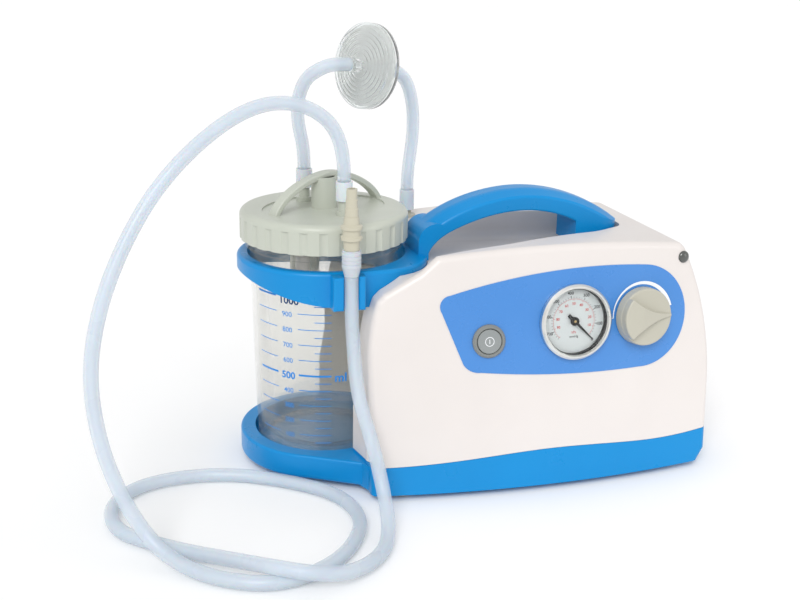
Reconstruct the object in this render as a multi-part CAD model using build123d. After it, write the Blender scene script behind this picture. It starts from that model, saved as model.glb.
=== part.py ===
from build123d import *
import math
import os

# Portable medical suction pump with a one litre collection jar, in millimetres.
# +X is the pump's right, +Y its back and +Z up. The origin is on the floor, at the
# middle of the machine's width and depth (hoses and their fittings not counted).

# ---- driving dimensions -------------------------------------------------------------
WALL = 3.0                     # thickness of the moulded casing
GAP = 0.5                      # assembly gap between two mouldings
FLOOR_Z = 4.5                  # underside of the base moulding, above the feet
CROWN_Z = 182.0                # highest point of the casing's top

LEAN = math.radians(7.8)       # the front leans back by this angle
BULGE_R = 784.0                # the front is part of a leaning cylinder this large
BULGE_X = 44.5                 # where the front stands furthest forward
FRONT_Y = -88.8
BACK_Y = 84.0
RIGHT_X = 175.6
LEFT_X = -101.5

JAR_X, JAR_Y = -110.0, 23.0    # axis of the jar, its tray, its ring and its lid
TRAY_R = 65.8
TRAY_TOP = 23.5
TRAY_BORE = 54.6
TRAY_FLOOR = 7.5
RECESS_R = 58.6                # hollow in the casing's left end, around the jar
LEDGE_Z = 138.5                # the ring rests on this ledge of the casing

RING_R = 65.8
RING_TOP = 165.0
RING_BORE_X = -108.0
RING_BORE = 60.0
RING_CORNER = 44.0             # plan radius where the ring turns into the handle
RING_REACH = -37.0             # furthest right that the ring's plate goes
HANDLE_Y = 8.0
HANDLE_W = 36.0
HANDLE_FOOT = (103.0, 8.0)     # centre of the handle's foot on the pocket's floor
POCKET_FLOOR = 160.0
CLIP_X = -106.9                # the hose clip on the ring's front
HOSE_R = 5.0
HOSE_BORE = 3.0

JAR_FOOT_Z = 7.8
JAR_FOOT_R = 52.2
JAR_TOP_R = 56.0
JAR_WALL = 2.4
JAR_SHOULDER_Z = 160.0
JAR_RIM_Z = 193.0
JAR_INSIDE_Z = 22.0
NECK_R = 57.0

LID_R = 63.2
LID_LOW = 176.8
LID_TOP = 198.5
LID_FLUTES = 28
PORT_R = 4.2
PATIENT_PORT = (-100.8, -3.0)
VACUUM_PORT = (-119.6, 49.3)
CUFF_R = 6.2

INLET = (-33.5, 62.0)          # vacuum inlet nozzle on top of the casing
INLET_TOP = 196.0

FEET = [(-71.0, -66.0), (148.0, -66.0), (152.0, 67.0), (-62.0, 70.0), (-150.0, 23.0)]
SCREWS = [(-46.0, -66.0), (158.0, -46.0), (163.0, 8.0), (-38.0, 74.0)]

GAUGE_X, GAUGE_Z, GAUGE_R = 56.4, 125.9, 28.0
KNOB_X, KNOB_Z, KNOB_R = 111.5, 125.5, 21.9
BUTTON_X, BUTTON_Z, BUTTON_R = -10.1, 115.9, 9.0
LED_X, LED_Z, LED_R = 148.8, 166.0, 4.6
LABEL_T = 0.5

PUMP_X, PUMP_Y, PUMP_Z = 84.0, 40.0, 52.0      # crank centre
CRANK_E = 2.5
BORE_R = 18.0
PISTON_R = 15.0

FILTER = Vector(-72.0, 47.0, 299.0)
FILTER_AXIS = Vector(0.87, 0.47, -0.13).normalized()
FILTER_R = 32.0

# ---- helpers ------------------------------------------------------------------------
LEAN_UP = Vector(0, math.sin(LEAN), math.cos(LEAN))
LEAN_OUT = Vector(0, -math.cos(LEAN), math.sin(LEAN))
FRONT_FOOT = Vector(BULGE_X, FRONT_Y, FLOOR_Z)


def front_point(x, z):
    """Point on the front at a given x and z, and the outward normal there."""
    angle = math.asin((x - BULGE_X) / BULGE_R)
    sag = BULGE_R * (1 - math.cos(angle))
    rise = (z - FLOOR_Z + sag * math.sin(LEAN)) / math.cos(LEAN)
    point = FRONT_FOOT - LEAN_OUT * sag + Vector(x - BULGE_X, 0, 0) + LEAN_UP * rise
    normal = LEAN_OUT * math.cos(angle) + Vector(math.sin(angle), 0, 0)
    return point, normal


def front_plane(x, z):
    """Plane on the front: its z points outward and its x to the right."""
    point, normal = front_point(x, z)
    right = Vector(math.cos(math.asin(normal.X)), 0, 0) - normal * normal.X
    return Plane(origin=point, x_dir=right.normalized(), z_dir=normal)


def front_cylinder(offset):
    """The leaning cylinder whose near side is the front, grown by offset."""
    centre = FRONT_FOOT - LEAN_OUT * BULGE_R
    axis = Plane(origin=centre, z_dir=LEAN_UP)
    return axis * Cylinder(BULGE_R + offset, 900)


def rod(radius, low, high, at=(0, 0)):
    """Upright cylinder between two heights."""
    body = Cylinder(radius, high - low, align=(Align.CENTER, Align.CENTER, Align.MIN))
    return Pos(at[0], at[1], low) * body


def tube(outer, inner, low, high, at=(0, 0)):
    return rod(outer, low, high, at) - rod(inner, low - 1, high + 1, at)


def block(x0, x1, y0, y1, z0, z1):
    body = Box(x1 - x0, y1 - y0, z1 - z0, align=(Align.MIN, Align.MIN, Align.MIN))
    return Pos(x0, y0, z0) * body


def along_y(wire_lines, y0, y1):
    """Prism whose section is drawn in X and Z and runs from y0 to y1."""
    face = make_face(wire_lines)
    prism = extrude(face, amount=y1 - y0, dir=(0, 1, 0))
    return Pos(0, y0, 0) * prism


def spun(points, at=(0, 0)):
    """Solid of revolution about a vertical axis, from points (radius, z)."""
    outline = Polyline([(r, 0, z) for r, z in points], close=True)
    return Pos(at[0], at[1], 0) * revolve(make_face(outline), Axis.Z)


def soften(body, edges, radius):
    """Fillet the edges, or return the body as it is where the kernel can't."""
    try:
        rounded = fillet(edges, radius)
        return rounded if rounded.is_valid else body
    except Exception:
        print("left sharp: radius", radius)
        return body


def save(name, shape):
    """Write one sub-part, named after its node."""
    solids = shape.solids() if hasattr(shape, "solids") else [shape]
    whole = Compound(children=list(solids)) if len(solids) > 1 else solids[0]
    whole.label = name
    export_step(whole, f"parts/{name}.step")


# ---- casing -------------------------------------------------------------------------
def end_view(inset):
    """Outline of the casing seen from the front, shrunk by inset."""
    low = FLOOR_Z + inset
    top = CROWN_Z - inset
    left = LEFT_X + inset
    face = left + 4.5
    right = RIGHT_X - inset
    return [
        Line((left, 0, low), (left, 0, 57)),
        Line((left, 0, 57), (face, 0, 82)),
        Line((face, 0, 82), (face, 0, 100)),
        ThreePointArc((face, 0, 100), (face + 2.0, 0, 124), (face + 7.5, 0, 146 - inset)),
        Line((face + 7.5, 0, 146 - inset), (face + 12.5, 0, 151 - inset)),
        Line((face + 12.5, 0, 151 - inset), (-58 + inset, 0, 166 - inset)),
        Line((-58 + inset, 0, 166 - inset), (-46 + inset, 0, 176.5 - inset)),
        ThreePointArc((-46 + inset, 0, 176.5 - inset), (50, 0, top), (147 - inset, 0, 176.5 - inset)),
        Line((147 - inset, 0, 176.5 - inset), (151.5 - inset, 0, 172 - inset)),
        ThreePointArc((151.5 - inset, 0, 172 - inset), (170 - inset, 0, 122), (right, 0, 62)),
        Line((right, 0, 62), (right - 2.0, 0, low + 8)),
        Line((right - 2.0, 0, low + 8), (right - 8, 0, low)),
        Line((right - 8, 0, low), (left, 0, low)),
    ]


def plan_view(inset, z0, z1):
    """Prism of the casing's outline seen from above, shrunk by inset."""
    corner = 16
    right = RIGHT_X + 5 - inset
    back = BACK_Y - inset
    left = LEFT_X + inset
    sketch = make_face(Polyline(
        (left, -33), (left + 4.5, -56), (left + 5.5, -120), (right, -120), (right, back),
        (left, back), close=True))
    prism = Pos(0, 0, z0) * extrude(sketch, amount=z1 - z0)
    edges = prism.edges().filter_by(Axis.Z).filter_by(
        lambda e: e.center().X > 100 and e.center().Y > 0)
    return fillet(edges, corner - inset)


def ring_outline(grow, z0, z1):
    """Prism of the ring's plate: a circle that widens into the handle's foot."""
    radius = RING_R + grow
    corner = RING_CORNER + grow
    reach = RING_REACH + grow
    bend = reach - corner
    disc = rod(radius, z0, z1, (JAR_X, JAR_Y))
    plate = block(JAR_X, bend, JAR_Y - radius, JAR_Y + radius, z0, z1)
    side = block(bend, reach, JAR_Y - radius + corner, JAR_Y + radius - corner, z0, z1)
    front = rod(corner, z0, z1, (bend, JAR_Y - radius + corner))
    rear = rod(corner, z0, z1, (bend, JAR_Y + radius - corner))
    return disc + plate + side + front + rear


def finger_pocket(grow):
    """Hollow in the casing's top, under the handle."""
    corners = [(-90, -58), (10, -50), (92, -28), (124, -6), (124, 20), (92, 40), (10, 47), (-90, 47)]
    bends = [0, 60, 60, 20, 20, 60, 60, 0]
    outline = make_face(Polyline(corners, close=True))
    for (x, y), radius in zip(corners, bends):
        if radius:
            vertex = outline.vertices().sort_by_distance((x, y, 0))[0]
            outline = fillet(vertex, radius)
    if grow:
        outline = offset(outline, amount=grow)
    low, high = POCKET_FLOOR - grow, 200.0
    hollow = Pos(0, 0, low) * extrude(outline, amount=high - low)
    floor = hollow.faces().sort_by(Axis.Z)[0]
    rim = floor.edges().filter_by(lambda e: e.center().X > -88)
    return soften(hollow, rim, 8.0 + grow)


def casing_block(inset):
    """Whole outside of the casing as one block, shrunk by inset and rounded if it isn't."""
    body = along_y(end_view(inset), -125, 100)
    body &= plan_view(inset, FLOOR_Z, 200)
    body &= front_cylinder(-inset)
    if inset == 0:
        creases = body.edges().filter_by(GeomType.LINE).filter_by(
            lambda e: e.center().Z > 140 and abs(e.tangent_at(0.5).Y) > 0.9)
        body = soften(body, creases, 6)
        front = body.faces().filter_by(GeomType.CYLINDER).sort_by(SortBy.AREA)[-1]
        body = soften(body, front.edges().filter_by(lambda e: e.center().Z > 6), 5)
        back = body.faces().filter_by(GeomType.PLANE).sort_by(Axis.Y)[-1]
        body = soften(body, back.edges().filter_by(lambda e: e.center().Z > 6), 4)
    body -= rod(RECESS_R + inset, FLOOR_Z - 5, 200, (JAR_X, JAR_Y))
    body -= ring_outline(GAP + inset, LEDGE_Z - inset, 230)
    return body


def lower_corner():
    """Slanted cut at the foot of the casing's front left edge."""
    a, b, c = Vector(-97.0, -63.0, 84.0), Vector(-88.0, -75.5, 22.0), Vector(-98.6, -56.0, 22.0)
    normal = (c - a).cross(b - a).normalized()
    if normal.X > 0:
        normal = -normal
    return Plane(origin=b, z_dir=normal) * Box(
        60, 60, 30, align=(Align.CENTER, Align.CENTER, Align.MIN))


def parting(offset):
    """Everything below the wavy line between the base and the upper housing."""
    wave = [(-120, 25.6), (-62, 26), (-32, 27.8), (10, 30.8), (35, 31.8), (80, 30.6),
            (125, 28.4), (165, 29.6), (185, 31.5)]
    top = Spline([(x, 0, z + offset) for x, z in wave])
    lines = [
        top,
        Line((185, 0, 31.5 + offset), (185, 0, -10)),
        Line((185, 0, -10), (-120, 0, -10)),
        Line((-120, 0, -10), (-120, 0, 25.6 + offset)),
    ]
    return along_y(lines, -130, 110)


def tray_block(z0, z1):
    """The jar's tray: a disc whose front runs straight out to the casing's corner."""
    disc = rod(TRAY_R, z0, z1, (JAR_X, JAR_Y))
    apron = make_face(Polyline(
        (-143, -33.6), (-99.8, -58.6), (-96.2, -67), (-86.8, -77.0), (-60, -60), (-60, 40),
        (-110, 40), close=True))
    tray = disc + Pos(0, 0, z0) * extrude(apron, amount=z1 - z0)
    rims = tray.edges().filter_by(lambda e: e.center().X < -105 and e.length > 5)
    upper = rims.filter_by(lambda e: e.center().Z > z1 - 0.1)
    tray = soften(tray, upper, 2.0)
    rims = tray.edges().filter_by(lambda e: e.center().X < -105 and e.length > 5)
    return soften(tray, rims.filter_by(lambda e: e.center().Z < z0 + 0.1), 3.0)


def base_shell(outer, inner):
    """Blue lower moulding with the jar's tray."""
    shell = (outer & parting(0)) - inner
    tray = tray_block(FLOOR_Z, TRAY_TOP)
    tray -= inner
    tray -= rod(TRAY_BORE, TRAY_FLOOR, 60, (JAR_X, JAR_Y))
    shell += tray
    for x, y in FEET:
        shell += rod(9, FLOOR_Z, FLOOR_Z + 5, (x, y))
        shell -= rod(3.0, FLOOR_Z - 1, FLOOR_Z + 3.2, (x, y))
    shell -= rod(TRAY_BORE, TRAY_FLOOR, 60, (JAR_X, JAR_Y))
    for x, y in SCREWS:
        shell += rod(5, FLOOR_Z, 24, (x, y))
        shell -= rod(3.6, FLOOR_Z - 1, FLOOR_Z + 2.2, (x, y))
        shell -= rod(1.7, FLOOR_Z - 1, 30, (x, y))
    return shell


def upper_housing(outer, inner):
    """White upper moulding, hollow, with holes for what is fitted to it."""
    shell = (outer - parting(0.3)) - inner - finger_pocket(0)
    gauge, knob = front_plane(GAUGE_X, GAUGE_Z), front_plane(KNOB_X, KNOB_Z)
    button, led = front_plane(BUTTON_X, BUTTON_Z), front_plane(LED_X, LED_Z)
    for plane, radius in ((gauge, 25.8), (knob, 5.6), (button, 10.6), (led, 3.4)):
        shell -= plane * Cylinder(radius, 30)
    shell -= rod(4.6, 128, 200, INLET)
    shell -= rod(2.1, 150, 162, HANDLE_FOOT)
    shell -= Pos(120, BACK_Y, 40) * Rot(90, 0, 0) * Cylinder(6.3, 30)
    for row in range(6):
        shell -= block(60, 100, BACK_Y - 8, BACK_Y + 8, 58 + 9 * row, 62 + 9 * row)
    for x, y in SCREWS:
        boss = rod(5, 24, 46, (x, y)) - rod(1.4, 20, 44, (x, y))
        shell += boss & (outer - parting(0.3))
    return shell.solids().sort_by(SortBy.VOLUME)[-1]


def label_outline():
    """Kidney-shaped outline of the front label, in X and Z."""
    return [
        ThreePointArc((-29, 0, 99.5), (-23.5, 0, 94.5), (-16, 0, 93)),
        ThreePointArc((-16, 0, 93), (50, 0, 87.6), (110, 0, 86.8)),
        ThreePointArc((110, 0, 86.8), (150.6, 0, 121), (118, 0, 163)),
        ThreePointArc((118, 0, 163), (40, 0, 164), (-38, 0, 149.8)),
        ThreePointArc((-38, 0, 149.8), (-44.6, 0, 145.3), (-44.2, 0, 137.4)),
        Line((-44.2, 0, 137.4), (-29, 0, 99.5)),
    ]


def front_label():
    """Printed overlay, glued on the front, with holes for the controls."""
    prism = along_y(label_outline(), -130, 0)
    sheet = prism & (front_cylinder(LABEL_T) - front_cylinder(0.0))
    sheet = sheet.solids().filter_by(lambda s: s.center().Y < 0)[0]
    gauge, knob = front_plane(GAUGE_X, GAUGE_Z), front_plane(KNOB_X, KNOB_Z)
    button = front_plane(BUTTON_X, BUTTON_Z)
    for plane, radius in ((gauge, 25.8), (knob, 5.6), (button, 10.6)):
        sheet -= plane * Cylinder(radius, 30)
    return sheet


def rubber_feet():
    feet = []
    for x, y in FEET:
        foot = rod(7.5, 0, FLOOR_Z, (x, y)) + rod(2.9, 2, FLOOR_Z + 3.0, (x, y))
        low = foot.edges().filter_by(lambda e: e.center().Z < 0.1)
        feet.append(fillet(low, 1.5))
    return Compound(children=feet)


def base_screws():
    screws = []
    for x, y in SCREWS:
        head = rod(3.3, FLOOR_Z + 0.2, FLOOR_Z + 2.2, (x, y))
        screws.append(head + rod(1.35, FLOOR_Z + 1, 40, (x, y)))
    return Compound(children=screws)


# ---- ring and handle ----------------------------------------------------------------
def ring_underside():
    """Space below the ring's lower edge, which drops from the far left to the casing."""
    lines = [
        ThreePointArc((-185, 0, 158.5), (-150, 0, 145.2), (-100, 0, LEDGE_Z)),
        Line((-100, 0, LEDGE_Z), (10, 0, LEDGE_Z)),
        Line((10, 0, LEDGE_Z), (10, 0, 100)),
        Line((10, 0, 100), (-185, 0, 100)),
        Line((-185, 0, 100), (-185, 0, 158.5)),
    ]
    return along_y(lines, -100, 140)


def handle_outline():
    """Side view of the arch, with its neck on the ring and its foot on the right."""
    crest = [(-36.5, 0, 187.6), (-22, 0, 196.6), (8, 0, 207.4), (37, 0, 211.0),
             (68, 0, 207.6), (97, 0, 197.6), (122, 0, 182.0)]
    belly = [(82, 0, 184.5), (62, 0, 192.3), (37, 0, 195.3), (10, 0, 192.0),
             (-13, 0, 184.6), (-31, 0, 174.0), (-37.2, 0, 165.0)]
    return [
        Line((-45.2, 0, 161), (-45.2, 0, 176)),
        ThreePointArc((-45.2, 0, 176), (-43.2, 0, 182.0), (-36.5, 0, 187.6)),
        Spline(crest),
        Line((122, 0, 182.0), (122, 0, 166.0)),
        Line((122, 0, 166.0), (82, 0, 166.0)),
        Line((82, 0, 166.0), (82, 0, 184.5)),
        Spline(belly),
        Line((-37.2, 0, 165.0), (-37.2, 0, 161)),
        Line((-37.2, 0, 161), (-45.2, 0, 161)),
    ]


def handle_ring():
    """One moulding: the ring that holds the jar, the hose clip and the carrying handle."""
    ring = ring_outline(0, 130, RING_TOP) - ring_underside()
    top_edge = ring.edges().filter_by(lambda e: e.center().Z > RING_TOP - 0.1)
    ring = soften(ring, top_edge, 3.0)
    ring -= rod(RING_BORE, 100, 200, (RING_BORE_X, JAR_Y))
    clip = block(CLIP_X - 13.0, CLIP_X + 10.5, -52.5, -38, 139.5, RING_TOP - 0.8)
    clip -= block(CLIP_X - 5.2, CLIP_X + 5.2, -60, -44.4, 130, 170)
    clip = soften(clip, clip.edges().filter_by(lambda e: e.center().Y < -49), 1.6)
    ring += clip - rod(RING_BORE + 2, 100, 200, (RING_BORE_X, JAR_Y))
    foot = rod(10, POCKET_FLOOR, 170, HANDLE_FOOT)
    whole = ring + handle_bar() + foot
    root = whole.edges().filter_by(
        lambda e: abs(e.center().Z - RING_TOP) < 0.3 and e.length > 20 and -52 < e.center().X < -42)
    whole = soften(whole, root, 7.0)
    return whole - rod(1.95, 150, POCKET_FLOOR + 9.5, HANDLE_FOOT)


def handle_bar():
    """The arch itself: flat sides, a crowned top and a round right end."""
    half = HANDLE_W / 2
    bar = along_y(handle_outline(), HANDLE_Y - half, HANDLE_Y + half)
    side_edges = bar.edges().filter_by(
        lambda e: e.length > 60 and abs(e.center().Y - HANDLE_Y) > half - 0.5)
    bar = soften(bar, side_edges.filter_by(lambda e: 180 < e.center().Z < 196), 1.5)
    side_edges = bar.edges().filter_by(
        lambda e: e.length > 60 and abs(e.center().Y - HANDLE_Y) > half - 0.5)
    bar = chamfer(side_edges.filter_by(lambda e: e.center().Z > 199), 4.5, 11.0)
    creases = bar.edges().filter_by(lambda e: e.length > 60 and e.center().Z > 196)
    bar = soften(bar, creases.filter_by(
        lambda e: abs(e.center().Y - HANDLE_Y) < half - 0.5), 12.0)
    creases = bar.edges().filter_by(lambda e: e.length > 60 and e.center().Z > 196)
    bar = soften(bar, creases.filter_by(
        lambda e: abs(e.center().Y - HANDLE_Y) > half - 0.5), 2.5)
    return bar & (rod(half, 150, 230, (104, HANDLE_Y)) + block(-60, 104, -40, 60, 150, 230))





# ---- things on the front ------------------------------------------------------------
def turned(plane, points):
    """Solid of revolution about the plane's normal, from points (radius, height)."""
    outline = Polyline([(r, 0, h) for r, h in points], close=True)
    return plane * revolve(make_face(outline), Axis.Z)


def gauge_parts():
    plane = front_plane(GAUGE_X, GAUGE_Z)
    t = LABEL_T + 0.1
    r = GAUGE_R
    case = turned(plane, [
        (0, -26), (25.2, -26), (25.2, t), (r, t), (r, 4.2), (r - 1.4, 5.8), (r - 2.6, 5.8),
        (r - 3.4, 4.4), (r - 3.4, -2.2), (2.4, -2.2), (2.4, -12), (0, -12)])
    dial = turned(plane, [(2.4, -2.2), (r - 3.5, -2.2), (r - 3.5, -1.4), (2.4, -1.4)])
    lens = turned(plane, [(0, 2.8), (r - 3.5, 2.8), (r - 3.5, 4.0), (0, 4.3)])
    thread = plane * Pos(0, 0, -37) * Cylinder(4.8, 12)
    nut = extrude(RegularPolygon(8, 6), amount=6)
    stem = thread + plane * Pos(0, 0, -32.1) * nut
    stem -= plane * Pos(0, 0, -37) * Cylinder(2.0, 30)
    return case, dial, lens, stem


def gauge_needle():
    """Pointer on its spindle; at rest it points down to the right."""
    plane = front_plane(GAUGE_X, GAUGE_Z)
    hub = Pos(0, 0, 0.7) * Cylinder(3.2, 1.4)
    spindle = Pos(0, 0, -4.5) * Cylinder(1.0, 10)
    blade = extrude(make_face(Polyline((-7, -1.3), (20.5, -0.35), (20.5, 0.35), (-7, 1.3),
                                       close=True)), amount=0.6)
    turn = Rot(0, 0, -45)
    return plane * turn * (hub + spindle + Pos(0, 0, 0.3) * blade)


def regulator_knob():
    """Grip knob: a round puck, scooped on both sides of a rib that points right at rest."""
    r = KNOB_R
    skirt = Pos(0, 0, 1.2) * extrude(Circle(r), amount=7.6, taper=3)
    skirt = soften(skirt, skirt.edges().sort_by(Axis.Z)[-1:], 1.5)
    lobe = r - 0.6
    side = lobe * math.sin(math.radians(46))
    back = -lobe * math.cos(math.radians(46))
    tip = r - 0.8
    outline = make_face([
        ThreePointArc((back, side), (-lobe, 0), (back, -side)),
        ThreePointArc((back, -side), (2, -5.2), (tip, -1.4)),
        Line((tip, -1.4), (tip, 1.4)),
        ThreePointArc((tip, 1.4), (2, 5.2), (back, side)),
    ])
    grip = Pos(0, 0, 3) * extrude(outline, amount=11.6)
    grip -= Pos(-6, 0, 14.6) * Rot(0, 10.5, 0) * Pos(0, -30, 0) * extrude(Rectangle(
        80, 60, align=(Align.MIN, Align.MIN)), amount=20)
    grip = soften(grip, grip.edges().filter_by(lambda e: e.center().Z > 8.5), 1.2)
    knob = skirt + grip
    knob -= Pos(0, 0, 2.7) * Cylinder(18.5, 5.2)
    knob += Pos(0, 0, 4.3) * Cylinder(7, 5.4)
    knob -= Pos(0, 0, 3.4) * Cylinder(2.95, 8)
    return front_plane(KNOB_X, KNOB_Z) * knob


def valve_stem():
    """Shaft of the regulator; turns with the knob."""
    shaft = Pos(0, 0, -7.3) * Cylinder(2.95, 29.2)
    return front_plane(KNOB_X, KNOB_Z) * (shaft + Pos(0, 0, -20) * Cylinder(5.0, 3.6))


def regulator_valve():
    """Bleed valve bolted behind the front, with two hose stubs."""
    body = Pos(0, 0, -16.05) * Cylinder(11, 25.9)
    body += Pos(0, 0, -2.0) * Cylinder(5.2, 6.0)
    body -= Pos(0, 0, -2) * Cylinder(3.03, 20)
    body -= Pos(0, 0, -19.9) * Cylinder(5.6, 19.6)
    for side in (-1, 1):
        stub = Pos(side * 15, 0, -20) * Rot(0, 90, 0) * Cylinder(3.0, 12)
        body += stub - Pos(0, 0, -20) * Cylinder(6, 22)
    return front_plane(KNOB_X, KNOB_Z) * body


def power_button():
    cap = Pos(0, 0, -2.4) * Cylinder(BUTTON_R, 11.2)
    cap = soften(cap, cap.edges().sort_by(Axis.Z)[-1:], 0.8)
    stem = Pos(0, 0, -10.4) * Cylinder(3.0, 5.2)
    return front_plane(BUTTON_X, BUTTON_Z) * (cap + stem)


def button_bezel():
    plane = front_plane(BUTTON_X, BUTTON_Z)
    return turned(plane, [
        (BUTTON_R + 0.3, -8), (10.4, -8), (10.4, LABEL_T + 0.1), (12.4, LABEL_T + 0.1),
        (12.2, 2.0), (10.8, 3.4), (9.9, 3.4), (BUTTON_R + 0.3, 2.4)])


def power_switch():
    """Latching switch on the circuit board, behind the button."""
    body = Pos(0, 0, -22.5) * Box(16, 16, 14)
    plunger = Pos(0, 0, -15.6) * Cylinder(2.2, 0.8)
    return front_plane(BUTTON_X, BUTTON_Z) * (body + plunger)


def circuit_board():
    plane = front_plane(BUTTON_X, BUTTON_Z)
    board = Pos(4, -16, -30.4) * Box(64, 70, 1.6)
    chips = [(-14, -34, 18, 8, 6), (12, -38, 14, 14, 9), (28, -20, 8, 20, 7), (-18, -12, 9, 9, 10)]
    for x, y, w, h, t in chips:
        board += Pos(x, y, -31.1 - t / 2) * Box(w, h, t + 0.2)
    return plane * board


def status_lens():
    """Domed cover of the battery light."""
    plane = front_plane(LED_X, LED_Z)
    dome = Sphere(LED_R) & Pos(0, 0, 5) * Box(20, 20, 10)
    dome = Pos(0, 0, 0.05) * scale(dome, (1, 1, 0.55))
    return plane * (dome + Pos(0, 0, -3) * Cylinder(3.3, 6.6))


# ---- top and back fittings ----------------------------------------------------------
def inlet_nozzle(outer):
    """Barbed nozzle for the filter hose; its flange follows the top, its foot goes through."""
    stem = spun([
        (2.0, 158), (4.4, 158), (4.4, 180), (3.6, 180.6),
        (3.6, 188), (4.3, 188.6), (3.4, 193), (4.0, 193.4), (3.2, INLET_TOP), (2.0, INLET_TOP)],
        INLET)
    return stem + (tube(7.0, 4.3, 172, 180, INLET) - outer)


def dc_jack():
    """Round low-voltage charging socket in the back."""
    points = [(2.6, -16), (6.1, -16), (6.1, 0.1), (8.0, 0.1), (8.0, 2.0), (5.0, 2.0), (2.6, 1.0)]
    plane = Plane(origin=(120, BACK_Y, 40), x_dir=(-1, 0, 0), z_dir=(0, 1, 0))
    socket = turned(plane, points)
    return socket + plane * Pos(0, 0, -9) * Cylinder(1.0, 13) + plane * Pos(0, 0, -15.2) * Cylinder(5, 1.6)


def handle_screw():
    """Screw that holds the handle's foot from inside the casing."""
    head = rod(4.0, POCKET_FLOOR - WALL - 2.6, POCKET_FLOOR - WALL, HANDLE_FOOT)
    return head + rod(1.9, POCKET_FLOOR - WALL, POCKET_FLOOR + 9, HANDLE_FOOT)


# ---- inside -------------------------------------------------------------------------
BATTERY = (-30.0, 50.0, 6.0, 76.0, 7.5, 106.0)


def battery_pack():
    x0, x1, y0, y1, z0, z1 = BATTERY
    body = block(x0, x1, y0, y1, z0, z1 - 4)
    body += block(x0 + 6, x1 - 6, y0 + 4, y1 - 4, z1 - 4, z1)
    for x in (x0 + 14, x1 - 14):
        body += block(x - 3, x + 3, y0 + 8, y0 + 9, z1, z1 + 6)
    return body


def battery_strap():
    x0, x1, y0, y1, z0, z1 = BATTERY
    mid = (x0 + x1) / 2
    strap = block(mid - 8, mid + 8, y0 - 1.8, y1 + 1.8, z0, z1 + 1.8)
    strap -= block(mid - 9, mid + 9, y0 - 0.1, y1 + 0.1, z0 - 1, z1 + 0.1)
    for y in (y0 - 12, y1 + 0.1):
        if y < y0:
            strap += block(mid - 8, mid + 8, y, y0 - 0.1, z0, z0 + 1.8)
    return strap


def pump_crankcase():
    """Box around the crank, open at its near side, with feet on the base."""
    x, y, z = PUMP_X, PUMP_Y, PUMP_Z
    case = block(x - 14, x + 14, y - 24, y + 24, z - 26, z + 26)
    case -= block(x - 15, x + 11, y - 21, y + 21, z - 23, z + 23)
    case -= rod(BORE_R, z + 10, z + 40, (x - 2, y))
    case -= Pos(x + 12, y, z) * Rot(0, 90, 0) * Cylinder(5.5, 8)
    for side in (-1, 1):
        leg = block(x - 10, x + 10, y + side * 20 - 3, y + side * 20 + 3, 7.5, z - 26)
        case += leg
    return case


def crankcase_cover():
    x, y, z = PUMP_X, PUMP_Y, PUMP_Z
    plate = block(x - 16.2, x - 14.2, y - 24, y + 24, z - 26, z + 26)
    for dy in (-21, 21):
        for dz in (-23, 23):
            plate += Pos(x - 17.2, y + dy, z + dz) * Rot(0, 90, 0) * Cylinder(2.6, 2.2)
    return plate


def pump_cylinder():
    z = PUMP_Z
    barrel = tube(BORE_R + 3, BORE_R, z + 26.1, z + 54, (PUMP_X - 2, PUMP_Y))
    for k in range(4):
        level = z + 31 + 6 * k
        barrel += tube(BORE_R + 6, BORE_R + 1, level, level + 2, (PUMP_X - 2, PUMP_Y))
    return barrel


def cylinder_head():
    x, y, z = PUMP_X - 2, PUMP_Y, PUMP_Z + 54.1
    head = rod(BORE_R + 6, z, z + 9, (x, y))
    head += block(x - 12, x + 12, y - 14, y + 14, z + 9, z + 17)
    for side in (-1, 1):
        head += Pos(x + side * 16, y, z + 13.4) * Rot(0, 90, 0) * Cylinder(3.2, 12)
    return head


def valve_plate():
    return rod(BORE_R - 0.1, PUMP_Z + 52.0, PUMP_Z + 54.0, (PUMP_X - 2, PUMP_Y))


def motor_can():
    start = PUMP_X + 14.1
    can = Pos(start + 29, PUMP_Y, PUMP_Z) * Rot(0, 90, 0) * Cylinder(21, 58)
    can -= Pos(start + 29, PUMP_Y, PUMP_Z) * Rot(0, 90, 0) * Cylinder(18.5, 52)
    can -= Pos(start + 29, PUMP_Y, PUMP_Z) * Rot(0, 90, 0) * Cylinder(3.2, 70)
    return can


def motor_cradle():
    x = PUMP_X + 43
    cradle = block(x - 14, x + 14, PUMP_Y - 18, PUMP_Y + 18, 7.5, PUMP_Z - 8)
    cradle -= Pos(x, PUMP_Y, PUMP_Z) * Rot(0, 90, 0) * Cylinder(21.05, 60)
    cradle -= block(x - 11, x + 11, PUMP_Y - 14, PUMP_Y + 14, 5, 26)
    return cradle


def motor_shaft():
    start = PUMP_X - 6
    shaft = Pos(0, PUMP_Y, PUMP_Z) * Rot(0, 90, 0) * Pos(0, 0, (start + 165) / 2)
    body = shaft * Cylinder(2.9, 165 - start)
    core = Pos(PUMP_X + 43, PUMP_Y, PUMP_Z) * Rot(0, 90, 0) * Cylinder(16.5, 44)
    return body + core


def eccentric():
    """Crank disc with its offset pin."""
    disc = Pos(PUMP_X + 4, PUMP_Y, PUMP_Z) * Rot(0, 90, 0) * Cylinder(11, 6)
    disc -= Pos(PUMP_X + 4, PUMP_Y, PUMP_Z) * Rot(0, 90, 0) * Cylinder(2.9, 20)
    disc -= Pos(PUMP_X, PUMP_Y, PUMP_Z) * Rot(0, 90, 0) * Cylinder(2.9, 20)
    pin = Pos(PUMP_X - 4.5, PUMP_Y, PUMP_Z + CRANK_E) * Rot(0, 90, 0) * Cylinder(5.9, 11)
    pin -= Pos(PUMP_X, PUMP_Y, PUMP_Z) * Rot(0, 90, 0) * Cylinder(2.9, 14)
    return disc + pin


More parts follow.
